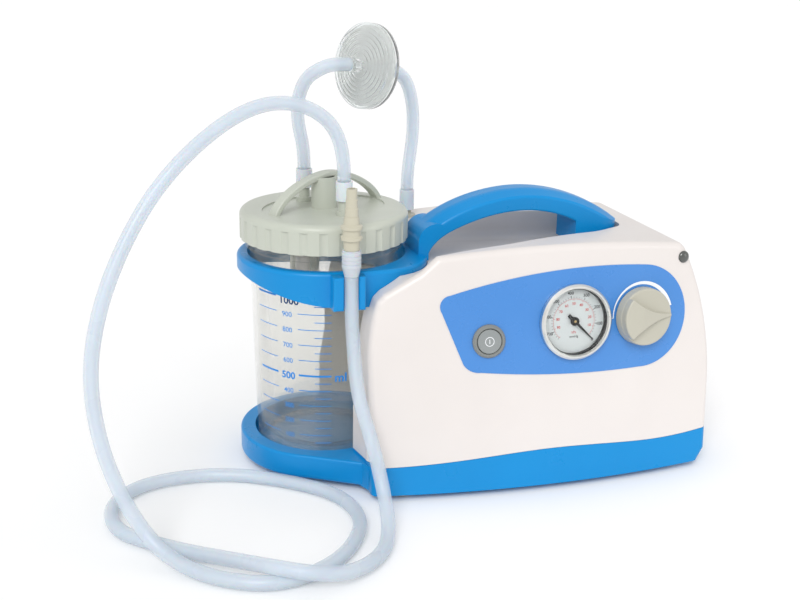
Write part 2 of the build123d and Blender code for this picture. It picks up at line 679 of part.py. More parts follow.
def cooling_fan():
    x = 161.0
    hub = Pos(x, PUMP_Y, PUMP_Z) * Rot(0, 90, 0) * Cylinder(7, 7)
    hub -= Pos(x, PUMP_Y, PUMP_Z) * Rot(0, 90, 0) * Cylinder(2.9, 12)
    fan = hub
    for k in range(6):
        blade = Pos(0, 12.5, 0) * Rot(0, 28, 0) * Box(6, 13, 1.2)
        fan += Pos(x, PUMP_Y, PUMP_Z) * Rot(60 * k, 0, 0) * blade
    return fan


def rocking_piston():
    """Piston and rod in one piece, as in an oil-free rocking piston pump."""
    x, y, z = PUMP_X - 4.5, PUMP_Y, PUMP_Z + CRANK_E
    eye = Pos(x, y, z) * Rot(0, 90, 0) * Cylinder(9.5, 8)
    eye -= Pos(x, y, z) * Rot(0, 90, 0) * Cylinder(5.95, 10)
    web = block(x - 3, x + 3, y - 5, y + 5, z + 8, z + 38)
    crown = rod(PISTON_R, z + 37, z + 43, (PUMP_X - 2, y))
    return eye + web + crown


def exhaust_muffler():
    x, y, z = 140.0, -20.0, 7.5
    body = rod(13, z, z + 34, (x, y)) + rod(3.2, z + 34, z + 44, (x, y))
    return soften(body, body.faces().sort_by(Axis.Z)[-2].edges(), 1.0)


def bent_tube(points, radii, radius, bore):
    """Hollow line along straight runs joined by tangent arcs."""
    path = FilletPolyline(*points, radius=radii)
    start = Plane(origin=path @ 0, z_dir=path % 0)
    outer = sweep(start * Circle(radius), path=path)
    return outer - sweep(start * Circle(bore), path=path)


def vacuum_lines():
    """Lines inside the casing: inlet to pump head, and pump head to exhaust."""
    head_y, head_z = PUMP_Y, PUMP_Z + 67.5
    left = PUMP_X - 2 - 22.2
    right = PUMP_X - 2 + 22.2
    inlet = bent_tube([(INLET[0], INLET[1], 157.9), (INLET[0], INLET[1], 132),
                       (0, 40, 124), (34, head_y, head_z), (left, head_y, head_z)],
                      12.0, 4.0, 2.0)
    muffler = bent_tube([(right, head_y, head_z), (right + 18, head_y, head_z), (140, 0, 96),
                         (140, -20, 84), (140, -20, 52.4)], 8.0, 4.0, 2.0)
    return Compound(children=[inlet.solids()[0], muffler.solids()[0]])


# ---- jar, lid and float -------------------------------------------------------------
def jar():
    """Clear jar with a raised floor, a collar and a threaded neck."""
    wall = JAR_WALL
    z_low = JAR_FOOT_Z
    profile = [
        (JAR_FOOT_R - 3.2, z_low), (JAR_FOOT_R - 1.0, z_low), (JAR_FOOT_R, z_low + 1.5),
        (JAR_TOP_R, JAR_SHOULDER_Z), (NECK_R - 1.2, 166.0), (NECK_R - 1.2, 170.2),
        (59.2, 170.8), (59.2, 173.6), (NECK_R, 174.4), (NECK_R, JAR_RIM_Z),
        (NECK_R - wall, JAR_RIM_Z), (NECK_R - wall, 168.0),
        (JAR_TOP_R - wall - 1.0, 161.0), (JAR_FOOT_R - wall, JAR_INSIDE_Z + 6),
        (JAR_FOOT_R - wall - 5, JAR_INSIDE_Z), (36, JAR_INSIDE_Z - 0.6), (35, JAR_INSIDE_Z - 2.2),
        (9, JAR_INSIDE_Z - 2.6), (7, JAR_INSIDE_Z - 0.2), (3, JAR_INSIDE_Z + 1.2),
        (0, JAR_INSIDE_Z + 1.4), (0, JAR_INSIDE_Z - 5.5), (JAR_FOOT_R - 9, JAR_INSIDE_Z - 4.8),
        (JAR_FOOT_R - 5.5, JAR_INSIDE_Z - 7)]
    body = spun(profile, (JAR_X, JAR_Y))
    for level in (178.5, 183.5, 188.5):
        body += tube(59.6, NECK_R - 0.6, level, level + 1.6, (JAR_X, JAR_Y))
    return body


def lid_arch():
    """Strap that arches over the lid, and the hollow post under its crown."""
    low = LID_TOP - 1.6
    outer = [(-51, 0, low), (-45, 0, 206), (-34, 0, 214.4), (-17, 0, 221.5), (0, 0, 224.6),
             (17, 0, 222.1), (34, 0, 214.6), (45, 0, 206), (51, 0, low)]
    inner = [(46.5, 0, low), (41.5, 0, 203.4), (31.5, 0, 211), (16, 0, 217.9), (0, 0, 220.6),
             (-16, 0, 217.4), (-31.5, 0, 210.8), (-41.5, 0, 203.4), (-46.5, 0, low)]
    band = along_y([Spline(outer), Line(outer[-1], inner[0]), Spline(inner),
                    Line(inner[-1], outer[0])], -4.5, 4.5)
    band = soften(band, band.edges().filter_by(lambda e: e.length > 60), 1.0)
    post = Pos(-2.6, 0, 0) * tube(10.0, 7.8, low, 221.0)
    return Pos(JAR_X + 3.3, JAR_Y + 4.1, 0) * Rot(0, 0, 25) * (band + post)


def jar_lid():
    """Screw lid with a fluted grip, two hose ports and a carrying arch."""
    body = spun([
        (60.6, LID_LOW), (LID_R, LID_LOW), (LID_R, LID_TOP), (0, LID_TOP), (0, LID_TOP - 3),
        (60.6, LID_TOP - 3)], (JAR_X, JAR_Y))
    body = soften(body, body.edges().filter_by(lambda e: e.center().Z > LID_TOP - 0.1), 5.0)
    for k in range(LID_FLUTES):
        groove = rod(5.0, LID_LOW - 2, LID_TOP - 5.5, (LID_R + 3.9, 0))
        body -= Pos(JAR_X, JAR_Y, 0) * Rot(0, 0, 360 * k / LID_FLUTES) * groove
    dish = Pos(JAR_X, JAR_Y, LID_TOP) * Rot(0, 0, 25) * scale(Cylinder(1, 2), (50, 38, 1))
    body -= dish
    body += lid_arch()
    for at in (PATIENT_PORT, VACUUM_PORT):
        body += rod(6.0, LID_TOP - 3, LID_TOP + 2.5, at) + rod(PORT_R, LID_TOP, LID_TOP + 24, at)
        body -= rod(2.4, 190, 240, at)
    body += tube(10.2, 8.0, 186, LID_TOP - 2.9, VACUUM_PORT)
    return body


def lid_seal():
    return tube(60.2, 53.8, LID_TOP - 5.2, LID_TOP - 3.1, (JAR_X, JAR_Y))


def float_cage():
    """Guide of the overflow float, snapped under the vacuum port."""
    cage = tube(12.0, 10.3, 184, LID_TOP - 3.1, VACUUM_PORT)
    cage += tube(12.0, 8.2, 138, 141, VACUUM_PORT)
    for k in range(4):
        bar = Pos(11.0, 0, 162.5) * Box(2.4, 3.4, 46)
        cage += Pos(*VACUUM_PORT, 0) * Rot(0, 0, 90 * k + 20) * bar
    return cage


def overflow_float():
    """Hollow float with a rubber-faced tip that shuts the vacuum port when it rises."""
    return spun([(0, 142.5), (6.5, 142.5), (7.2, 143.4), (7.2, 162), (5.0, 164), (2.2, 165),
                 (2.2, 178), (0, 179)], VACUUM_PORT)


# ---- hoses, cuffs, filter and connector ---------------------------------------------
def on_filter_axis(distance):
    """Point on the filter's axis, at a distance from its middle."""
    return tuple(FILTER + FILTER_AXIS * distance)


# Every route is a list of points; a hose runs straight between them and bends at each
# by an arc as large as its two neighbouring runs allow.
PATIENT_ROUTE = [
    (-100.8, -3.0, 222.6), (-100.8, -3.0, 244), (-112, -7, 268), (-137, -14, 282),
    (-168, -22, 282), (-203, -33, 264), (-238, -46, 233), (-263, -58, 196), (-280, -70, 159),
    (-289, -82, 120), (-286, -96, 80), (-275, -108, 45), (-259, -121, 17), (-241, -140, 6.5),
    (-218, -162, 5.2), (-187, -176, 5.2), (-155, -168, 5.2), (-128, -144, 5.2),
    (-111, -106, 5.2), (-120, -66, 5.2), (-152, -37, 5.2), (-189, -16, 5.2),
    (-229, -11, 5.2), (-261, -20, 5.2), (-281, -46, 5.2), (-279, -82, 5.2),
    (-257, -104, 5.2), (-232, -124, 5.4), (-208, -146, 9), (-188, -170, 15),
    (-166, -185, 15.5), (-137, -180, 8), (-110, -157, 5.2), (-98, -127, 7),
    (-96, -104, 22), (-100, -90, 51), (-108, -74, 84), (-107, -58, 115),
    (-106.9, -50.8, 141), (-106.9, -50.8, 165.1)]

VACUUM_ROUTE = [
    (-119.6, 49.3, 222.6), (-119.6, 49.3, 238), (-124.5, 47.5, 257), (-125.5, 44, 275),
    (-120.8, 37.7, 291.5), (-110.2, 32.3, 299.8), on_filter_axis(-29.5), on_filter_axis(-17.6)]

INLET_ROUTE = [
    on_filter_axis(17.6), on_filter_axis(29.4), (-34, 66.4, 285.4), (-28.8, 66.6, 267), (-28, 66.5, 247),
    (-30.5, 65.0, 228), (*INLET, 212.5), (*INLET, 200)]


def route_radii(points):
    """One bend radius for each inner point of a route."""
    radii = []
    for before, here, after in zip(points, points[1:], points[2:]):
        run_in = Vector(*here) - Vector(*before)
        run_out = Vector(*after) - Vector(*here)
        turn = math.radians(run_in.get_angle(run_out))
        radii.append(0.45 * min(run_in.length, run_out.length) / math.tan(turn / 2))
    return radii


def hose(name, points):
    """Plain tube along a route; prints its radii and checks its volume."""
    radii = route_radii(points)
    path = FilletPolyline(*points, radius=radii)
    section = Plane(origin=path @ 0, z_dir=path % 0) * Circle(HOSE_R)
    body = sweep(section, path=path)
    ideal = math.pi * HOSE_R ** 2 * path.length
    print(name, "length", round(path.length), "smallest radius", round(min(radii), 1),
          "volume ratio", round(body.volume / ideal, 4))
    print("   radii", [round(r) for r in radii])
    return body


def hose_cuffs():
    """Three sleeves: on the patient port, the vacuum port and the casing's inlet."""
    patient = rod(CUFF_R, 208.5, 222.5, PATIENT_PORT) - rod(PORT_R, 190, 230, PATIENT_PORT)
    vacuum = rod(CUFF_R, 208.5, 222.5, VACUUM_PORT) - rod(PORT_R, 190, 230, VACUUM_PORT)
    inlet = rod(CUFF_R - 0.4, 184, 199.9, INLET) - rod(4.7, 180, 197.0, INLET)
    return Compound(children=[patient, vacuum, inlet])


CONNECTOR_AT = (-106.9, -50.8)
HOSE_END = 165.2


def connector_sleeve():
    """Frosted moulded end of the patient hose, over the connector's tail."""
    profile = [(4.0, HOSE_END), (5.2, HOSE_END), (6.6, 171)]
    for k in range(4):
        z = 171 + 3 * k
        profile += [(6.6, z + 0.2), (6.9, z + 0.6), (6.9, z + 2.2), (6.6, z + 2.6)]
    profile += [(6.6, 184.0), (4.0, 184.0)]
    return spun(profile, CONNECTOR_AT)


def hose_connector():
    """Stepped conical connector that takes a suction catheter."""
    return spun([
        (2.4, 167), (3.95, 167), (3.95, 184.1), (5.6, 184.1), (5.9, 190.5), (7.6, 191.6),
        (7.6, 193.4), (6.4, 194.6), (6.4, 198.2), (7.8, 199.4), (7.8, 201.2), (5.8, 202.6),
        (5.3, 208), (4.9, 208), (4.7, 213.6), (4.3, 214), (4.2, 219.6), (3.8, 220),
        (3.8, 227.4), (2.4, 227.4)], CONNECTOR_AT)


def filter_plane():
    return Plane(origin=FILTER, z_dir=-FILTER_AXIS)


def filter_front():
    """Near half of the bacterial filter: a ribbed dish with a hose hub."""
    plane = filter_plane()
    body = turned(plane, [
        (2.4, 2.2), (FILTER_R, 0.6), (FILTER_R, 3.2), (FILTER_R - 1.2, 4.0), (FILTER_R - 3, 4.0),
        (6, 7.0), (5.0, 9.0), (5.0, 17.5), (2.4, 17.5)])
    for k in range(7):
        r = 9 + 3.2 * k
        height = 6.6 - 2.6 * (r - 6) / (FILTER_R - 9)
        body += turned(plane, [(r, 2.6), (r + 1.1, 2.6), (r + 1.1, height + 1.0), (r, height + 1.0)])
    return body


def filter_rear():
    """Far half of the filter, a mirror of the near half."""
    plane = Plane(origin=FILTER, z_dir=FILTER_AXIS)
    return turned(plane, [
        (2.4, 2.2), (FILTER_R, 0.6), (FILTER_R, 3.2), (FILTER_R - 3, 4.0), (6, 7.0), (5.0, 9.0),
        (5.0, 17.5), (2.4, 17.5)])


def filter_membrane():
    plane = filter_plane()
    return turned(plane, [(0, -0.4), (FILTER_R - 2, -0.4), (FILTER_R - 2, 0.4), (0, 0.4)])


# ---- assembly -----------------------------------------------------------------------
def main():
    os.makedirs("parts", exist_ok=True)
    outer = casing_block(0)
    inner = casing_block(WALL) - finger_pocket(WALL)
    save("base_shell", base_shell(outer, inner))
    save("upper_housing", upper_housing(outer - lower_corner(), inner))
    save("handle_ring", handle_ring())
    save("front_label", front_label())
    save("inlet_nozzle", inlet_nozzle(outer))
    save("rubber_feet", rubber_feet())
    save("base_screws", base_screws())
    case, dial, lens, stem = gauge_parts()
    save("gauge_case", case)
    save("gauge_dial", dial)
    save("gauge_lens", lens)
    save("gauge_stem", stem)
    pieces = {
        "gauge_needle": gauge_needle, "regulator_knob": regulator_knob, "valve_stem": valve_stem,
        "regulator_valve": regulator_valve, "power_button": power_button,
        "button_bezel": button_bezel, "power_switch": power_switch,
        "circuit_board": circuit_board, "status_lens": status_lens,
        "dc_jack": dc_jack, "handle_screw": handle_screw,
        "battery_pack": battery_pack, "battery_strap": battery_strap,
        "pump_crankcase": pump_crankcase, "crankcase_cover": crankcase_cover,
        "pump_cylinder": pump_cylinder, "cylinder_head": cylinder_head,
        "valve_plate": valve_plate, "motor_can": motor_can, "motor_cradle": motor_cradle,
        "motor_shaft": motor_shaft, "eccentric": eccentric, "cooling_fan": cooling_fan,
        "rocking_piston": rocking_piston, "exhaust_muffler": exhaust_muffler,
        "vacuum_lines": vacuum_lines, "jar": jar, "jar_lid": jar_lid, "lid_seal": lid_seal,
        "float_cage": float_cage, "overflow_float": overflow_float, "hose_cuffs": hose_cuffs,
        "connector_sleeve": connector_sleeve, "hose_connector": hose_connector,
        "filter_front": filter_front, "filter_rear": filter_rear,
        "filter_membrane": filter_membrane,
    }
    for name, make in pieces.items():
        save(name, make())
    save("patient_hose", hose("patient_hose", PATIENT_ROUTE))
    save("vacuum_hose", hose("vacuum_hose", VACUUM_ROUTE))
    save("inlet_hose", hose("inlet_hose", INLET_ROUTE))


main()
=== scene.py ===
import math

import bpy
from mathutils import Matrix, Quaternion, Vector


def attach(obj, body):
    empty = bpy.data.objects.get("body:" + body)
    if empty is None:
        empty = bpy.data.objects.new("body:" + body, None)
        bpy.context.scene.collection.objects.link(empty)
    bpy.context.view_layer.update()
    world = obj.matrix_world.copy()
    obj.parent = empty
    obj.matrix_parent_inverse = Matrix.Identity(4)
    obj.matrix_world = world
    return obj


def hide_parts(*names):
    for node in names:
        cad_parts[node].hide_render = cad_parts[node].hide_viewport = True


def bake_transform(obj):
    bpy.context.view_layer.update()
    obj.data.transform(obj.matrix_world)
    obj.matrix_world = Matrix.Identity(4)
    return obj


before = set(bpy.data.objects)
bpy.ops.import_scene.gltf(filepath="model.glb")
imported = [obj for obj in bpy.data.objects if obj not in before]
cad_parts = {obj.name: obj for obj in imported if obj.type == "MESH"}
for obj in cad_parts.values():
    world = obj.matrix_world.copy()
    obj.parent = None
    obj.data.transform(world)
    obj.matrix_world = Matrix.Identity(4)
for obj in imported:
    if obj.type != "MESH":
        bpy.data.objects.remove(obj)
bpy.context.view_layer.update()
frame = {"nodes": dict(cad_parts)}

# A portable suction pump, in metres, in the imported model's frame. Values for the pump itself
# are written in millimetres and turned into metres with MM, and its prints are drawn in
# millimetres on the surface that carries them.
# ---- driving values -----------------------------------------------------------------
MM = 0.001
JAR_AXIS = Vector((-110, 23, 0)) * MM
HOSE_R = 5.0 * MM                           # outside radius of the hoses
HOSE_BORE = 3.0 * MM                        # and the radius of their bore
LEAN = math.radians(7.8)                    # the front leans back
BULGE_R = 784 * MM                          # and is part of a large leaning cylinder
FRONT_FOOT = Vector((44.5, -88.8, 4.5)) * MM    # the bulge's foremost point, at its foot
GAUGE = (56.4, 125.9)                       # x and z of the controls on the front
KNOB = (111.5, 125.5)
BUTTON = (-10.1, 115.9)
JAR_FOOT = (52.2, 9.3)                      # the jar's radius and height near its foot
JAR_TOP = (56.0, 160.0)                     # and near its mouth


# ---- camera, floor and light --------------------------------------------------------
CAMERA_PLACE = Vector((-293.2, -797.9, 393.6)) * MM
CAMERA_LENS = 51.49
SENSOR = 36.0
YAW = 0.289                                 # turned right, in radians
PITCH = 0.309                               # looking down
ROLL = 0.019
FLOOR_SIZE = 12
FLOOR_Z = -0.0003                           # just under the feet
WORLD_LIGHT = 0.78                          # how brightly the surroundings light the scene
WORLD_SEEN = 1.06                           # and how bright they look
LAMP_AIM = (0, 0, 0.1)                      # about the pump's middle


def make_camera():
    """Camera at the photograph's angle."""
    data = bpy.data.cameras.new("camera")
    data.sensor_width = SENSOR
    data.lens = CAMERA_LENS
    camera = bpy.data.objects.new("camera", data)
    bpy.context.scene.collection.objects.link(camera)
    camera.location = CAMERA_PLACE
    across = math.cos(PITCH)
    ahead = Vector((math.sin(YAW) * across, math.cos(YAW) * across, -math.sin(PITCH)))
    camera.rotation_mode = "QUATERNION"
    camera.rotation_quaternion = ahead.to_track_quat("-Z", "Y") @ Quaternion((0, 0, 1), ROLL)
    bpy.context.scene.camera = camera


def make_light(name, kind, energy, place, size):
    """A disc lamp of this width in metres, or a sun of this width in radians."""
    data = bpy.data.lights.new(name, kind)
    data.energy = energy
    if kind == "AREA":
        data.shape = "DISK"
        data.size = size
    else:
        data.angle = size
    lamp = bpy.data.objects.new(name, data)
    bpy.context.scene.collection.objects.link(lamp)
    lamp.location = Vector(place)
    lamp.rotation_mode = "QUATERNION"
    lamp.rotation_quaternion = (Vector(LAMP_AIM) - Vector(place)).to_track_quat("-Z", "Y")


def make_stage():
    """White floor, white surroundings and two soft lamps."""
    bpy.ops.mesh.primitive_plane_add(size=FLOOR_SIZE, location=(0, 0, FLOOR_Z))
    floor = bpy.context.object
    floor.name = "floor"
    floor.data.materials.append(floor_material())
    world = bpy.data.worlds.new("studio")
    world.use_nodes = True
    nodes, links = world.node_tree.nodes, world.node_tree.links
    background = nodes["Background"]
    background.inputs["Color"].default_value = (1.0, 1.0, 1.0, 1)
    path = nodes.new("ShaderNodeLightPath")
    strength = nodes.new("ShaderNodeMapRange")
    strength.inputs["To Min"].default_value = WORLD_LIGHT
    strength.inputs["To Max"].default_value = WORLD_SEEN
    links.new(path.outputs["Is Camera Ray"], strength.inputs["Value"])
    links.new(strength.outputs["Result"], background.inputs["Strength"])
    bpy.context.scene.world = world
    bpy.context.scene.view_settings.view_transform = "Standard"
    make_light("key", "SUN", 1.5, (-0.6, -1.1, 1.2), 0.5)
    make_light("fill", "AREA", 1.2, (1.0, -0.9, 0.5), 0.6)


# ---- materials ----------------------------------------------------------------------
class Shader:
    """A material's node tree, with short calls for the nodes used below."""

    def __init__(self, name):
        self.material = bpy.data.materials.new(name)
        self.material.use_nodes = True
        self.nodes = self.material.node_tree.nodes
        self.links = self.material.node_tree.links
        self.surface = self.nodes["Principled BSDF"]

    def set(self, **values):
        for key, value in values.items():
            self.surface.inputs[key.replace("_", " ")].default_value = value

    def add(self, kind, **settings):
        node = self.nodes.new(kind)
        for key, value in settings.items():
            setattr(node, key, value)
        return node

    def noise(self, scale, detail=4.0, rough=0.55):
        place = self.add("ShaderNodeTexCoord")
        node = self.add("ShaderNodeTexNoise")
        node.inputs["Scale"].default_value = scale
        node.inputs["Detail"].default_value = detail
        node.inputs["Roughness"].default_value = rough
        self.links.new(place.outputs["Object"], node.inputs["Vector"])
        return node.outputs["Fac"]

    def ramp(self, value, low, high, stops=(0.35, 0.65)):
        node = self.add("ShaderNodeValToRGB")
        node.color_ramp.elements[0].position = stops[0]
        node.color_ramp.elements[0].color = low
        node.color_ramp.elements[1].position = stops[1]
        node.color_ramp.elements[1].color = high
        self.links.new(value, node.inputs["Fac"])
        return node.outputs["Color"]

    def range(self, value, low, high, lowest=0.3, highest=0.7):
        node = self.add("ShaderNodeMapRange")
        node.inputs["From Min"].default_value = lowest
        node.inputs["From Max"].default_value = highest
        node.inputs["To Min"].default_value = low
        node.inputs["To Max"].default_value = high
        self.links.new(value, node.inputs["Value"])
        return node.outputs["Result"]

    def bump(self, height, strength, distance):
        node = self.add("ShaderNodeBump")
        node.inputs["Strength"].default_value = strength
        node.inputs["Distance"].default_value = distance
        self.links.new(height, node.inputs["Height"])
        self.links.new(node.outputs["Normal"], self.surface.inputs["Normal"])

    def wire(self, value, socket):
        self.links.new(value, self.surface.inputs[socket])


def rgba(r, g, b):
    return (r, g, b, 1.0)


def plastic(name, colour, worn, rough=0.32, grain=0.25, coat=0.15, shine=0.5):
    """Moulded plastic: a faint spark-eroded grain, slow colour drift and patchy gloss."""
    s = Shader(name)
    s.wire(s.ramp(s.noise(9, 3), rgba(*colour), rgba(*worn)), "Base Color")
    s.wire(s.range(s.noise(38, 5), rough - 0.05, rough + 0.09), "Roughness")
    s.bump(s.noise(1900, 2), grain, 0.00012)
    s.set(Specular_IOR_Level=shine, Coat_Weight=coat, Coat_Roughness=0.18)
    return s.material


def floor_material():
    """White paper with a trace of unevenness."""
    s = Shader("floor_paper")
    s.wire(s.ramp(s.noise(3, 2), rgba(0.93, 0.93, 0.93), rgba(0.95, 0.95, 0.95)), "Base Color")
    s.set(Roughness=0.85)
    return s.material


def metal(name, colour, rough=0.28, brushed=False):
    """Bare or plated metal, with finer streaks of gloss where it is brushed."""
    s = Shader(name)
    s.wire(s.ramp(s.noise(60, 4), rgba(*colour), rgba(*[c * 0.86 for c in colour])), "Base Color")
    s.wire(s.range(s.noise(400 if brushed else 90, 5), rough - 0.08, rough + 0.1), "Roughness")
    s.bump(s.noise(1500, 3), 0.15, 0.00005)
    s.set(Metallic=1.0)
    return s.material


def silicone(name, colour, opaque, depth):
    """Milky rubbery plastic that lets some light through."""
    s = Shader(name)
    s.wire(s.ramp(s.noise(14, 2), rgba(*colour), rgba(*[min(1, c * 1.05) for c in colour])),
           "Base Color")
    s.wire(s.range(s.noise(25, 3), 0.24, 0.34), "Roughness")
    s.bump(s.noise(90, 2), 0.03, 0.0001)
    s.set(Alpha=opaque, IOR=1.42, Subsurface_Weight=depth, Subsurface_Scale=0.004,
          Coat_Weight=0.25, Coat_Roughness=0.15)
    return s.material


def clear_plastic(name, tint=(0.97, 0.985, 0.99), rough=0.03, opaque=1.0, clarity=1.0):
    """Glassy plastic; a lower clarity adds a faint haze of the tint's own colour."""
    s = Shader(name)
    s.wire(s.ramp(s.noise(14, 3), rgba(*tint), rgba(*[c * 0.985 for c in tint])), "Base Color")
    s.wire(s.range(s.noise(30, 5), rough, rough + 0.05), "Roughness")
    s.bump(s.noise(26, 2), 0.05, 0.0004)
    s.set(Transmission_Weight=clarity, IOR=1.2, Alpha=opaque)
    return s.material


def make_materials():
    """Every material, by the short name that the pieces and nodes use."""
    return {
        "blue": plastic("blue_plastic", (0.0, 0.232, 0.575), (0.0, 0.25, 0.61), 0.3, 0.25, 0.04, 0.3),
        "white": plastic("white_plastic", (0.71, 0.665, 0.64), (0.74, 0.695, 0.67), 0.34),
        "label": plastic("label_film", (0.05, 0.225, 0.60), (0.062, 0.245, 0.63), 0.26, 0.08, 0.2),
        "knob": plastic("knob_plastic", (0.46, 0.445, 0.37), (0.49, 0.475, 0.40), 0.36),
        "lid": plastic("lid_plastic", (0.485, 0.51, 0.44), (0.515, 0.54, 0.47), 0.34),
        "connector": plastic("connector_plastic", (0.50, 0.475, 0.37), (0.54, 0.515, 0.41), 0.36),
        "grey": plastic("bezel_plastic", (0.20, 0.21, 0.20), (0.24, 0.25, 0.24), 0.4),
        "button": plastic("button_plastic", (0.24, 0.26, 0.26), (0.28, 0.30, 0.30), 0.45),
        "black": plastic("black_plastic", (0.02, 0.02, 0.022), (0.035, 0.035, 0.037), 0.4),
        "dial": plastic("dial_card", (0.80, 0.83, 0.82), (0.84, 0.87, 0.86), 0.5, 0.05, 0),
        "ink": plastic("black_ink", (0.015, 0.015, 0.015), (0.03, 0.03, 0.03), 0.5, 0.02, 0),
        "red_ink": plastic("red_ink", (0.65, 0.04, 0.03), (0.72, 0.07, 0.05), 0.5, 0.02, 0),
        "white_ink": plastic("white_ink", (0.85, 0.87, 0.9), (0.88, 0.9, 0.92), 0.4, 0.02, 0),
        "blue_ink": plastic("blue_ink", (0.0, 0.20, 0.62), (0.01, 0.23, 0.67), 0.5, 0.02, 0),
        # painted shade: navy for the full mark's number, darker than the blue print, standing in for
        # the handle ring's shadow on the jar
        "ink_in_painted_shade": plastic("ink_in_painted_shade", (0.01, 0.05, 0.16), (0.015, 0.07, 0.20), 0.5, 0.02, 0),
        "lamp": plastic("lamp_lens", (0.06, 0.065, 0.06), (0.08, 0.085, 0.08), 0.15, 0.02, 0.8),
        "rubber": plastic("foot_rubber", (0.42, 0.39, 0.34), (0.47, 0.44, 0.39), 0.7, 0.5, 0),
        "board": plastic("circuit_green", (0.01, 0.12, 0.05), (0.015, 0.15, 0.06), 0.35),
        "steel": metal("steel", (0.55, 0.55, 0.56), 0.3, True),
        "bright": metal("bright_bezel", (0.86, 0.86, 0.83), 0.32),
        "cast": metal("cast_aluminium", (0.58, 0.59, 0.60), 0.45),
        "brass": metal("brass", (0.72, 0.52, 0.24), 0.3),
        "silicone": silicone("silicone", (0.66, 0.74, 0.82), 0.46, 0.2),
        "cuff": silicone("cuff_silicone", (0.74, 0.79, 0.84), 0.85, 0.4),
        "sleeve": silicone("sleeve_silicone", (0.66, 0.71, 0.76), 0.7, 0.3),
        "clear": clear_plastic("clear_plastic"),
        "jar": clear_plastic("jar_plastic", (0.70, 0.695, 0.62), 0.03, 0.23, 0.68),
        "filter": clear_plastic("filter_shell", (0.93, 0.95, 0.95), 0.12),
        "membrane": plastic("filter_paper", (0.84, 0.84, 0.82), (0.88, 0.88, 0.86), 0.8, 0.6, 0),
    }


NODE_MATERIAL = {
    "base_shell": "blue", "upper_housing": "white", "handle_ring": "blue",
    "front_label": "label", "rubber_feet": "rubber", "base_screws": "steel",
    "handle_screw": "steel", "gauge_case": "bright", "gauge_dial": "dial",
    "gauge_lens": "clear", "gauge_stem": "brass", "gauge_needle": "ink",
    "regulator_knob": "knob", "valve_stem": "brass", "regulator_valve": "brass",
    "power_button": "button", "button_bezel": "grey", "power_switch": "black",
    "circuit_board": "board", "status_lens": "lamp", "inlet_nozzle": "knob",
    "dc_jack": "black", "battery_pack": "black", "battery_strap": "steel",
    "pump_crankcase": "cast", "crankcase_cover": "steel", "pump_cylinder": "cast",
    "cylinder_head": "cast", "valve_plate": "steel", "motor_can": "steel",
    "motor_cradle": "black", "motor_shaft": "steel", "eccentric": "brass",
    "cooling_fan": "black", "rocking_piston": "cast", "exhaust_muffler": "black",
    "vacuum_lines": "silicone", "jar": "jar", "jar_lid": "lid", "lid_seal": "rubber",
    "float_cage": "lid", "overflow_float": "white", "hose_cuffs": "cuff",
    "connector_sleeve": "sleeve", "hose_connector": "connector",
    "filter_front": "filter", "filter_rear": "filter", "filter_membrane": "membrane",
}


def dress_nodes(materials):
    """Gives every visible CAD node its procedural material."""
    for name, finish in NODE_MATERIAL.items():
        slots = frame["nodes"][name].data.materials
        slots.clear()
        slots.append(materials[finish])


# ---- mesh helpers -------------------------------------------------------------------
def new_mesh(name, vertices, faces, material, smooth=True):
    """A new piece from its vertices and faces."""
    mesh = bpy.data.meshes.new(name)
    mesh.from_pydata([tuple(v) for v in vertices], [], faces)
    mesh.validate()
    mesh.polygons.foreach_set("use_smooth", [smooth] * len(mesh.polygons))
    mesh.materials.append(material)
    piece = bpy.data.objects.new(name, mesh)
    bpy.context.scene.collection.objects.link(piece)
    return piece


def front_frame(x, z):
    """Point on the front at x and z in millimetres, with its right, up and outward axes."""
    out_mid = Vector((0, -math.cos(LEAN), math.sin(LEAN)))
    up_mid = Vector((0, math.sin(LEAN), math.cos(LEAN)))
    angle = math.asin((x * MM - FRONT_FOOT.x) / BULGE_R)
    sag = BULGE_R * (1 - math.cos(angle))
    rise = (z * MM - FRONT_FOOT.z + sag * math.sin(LEAN)) / math.cos(LEAN)
    point = FRONT_FOOT - out_mid * sag + Vector((x * MM - FRONT_FOOT.x, 0, 0)) + up_mid * rise
    out = out_mid * math.cos(angle) + Vector((math.sin(angle), 0, 0))
    right = (Vector((1, 0, 0)) - out * out.x).normalized()
    return point, right, out.cross(right), out


# ---- hoses --------------------------------------------------------------------------
PATIENT_ROUTE = [
    (-100.8, -3.0, 222.6), (-100.8, -3.0, 244), (-112, -7, 268), (-137, -14, 282),
    (-168, -22, 282), (-203, -33, 264), (-238, -46, 233), (-263, -58, 196), (-280, -70, 159),
    (-289, -82, 120), (-286, -96, 80), (-275, -108, 45), (-259, -121, 17), (-241, -140, 6.5),
    (-218, -162, 5.2), (-187, -176, 5.2), (-155, -168, 5.2), (-128, -144, 5.2),
    (-111, -106, 5.2), (-120, -66, 5.2), (-152, -37, 5.2), (-189, -16, 5.2),
    (-229, -11, 5.2), (-261, -20, 5.2), (-281, -46, 5.2), (-279, -82, 5.2),
    (-257, -104, 5.2), (-232, -124, 5.4), (-208, -146, 9), (-188, -170, 15),
    (-166, -185, 15.5), (-137, -180, 8), (-110, -157, 5.2), (-98, -127, 7),
    (-96, -104, 22), (-100, -90, 51), (-108, -74, 84), (-107, -58, 115),
    (-106.9, -50.8, 141), (-106.9, -50.8, 165.1)]
FILTER = Vector((-72.0, 47.0, 299.0))       # the filter's middle
FILTER_AXIS = Vector((0.87, 0.47, -0.13)).normalized()
LINE_STEPS = 14                             # points on a hose's line between two of its controls
HOSE_SIDES = 28


def on_filter_axis(distance):
    """Place on the filter's axis, this far from its middle."""
    return tuple(FILTER + FILTER_AXIS * distance)


VACUUM_ROUTE = [
    (-119.6, 49.3, 222.6), (-119.6, 49.3, 238), (-124.5, 47.5, 257), (-125.5, 44, 275),
    (-120.8, 37.7, 291.5), (-110.2, 32.3, 299.8), on_filter_axis(-29.5), on_filter_axis(-17.6)]

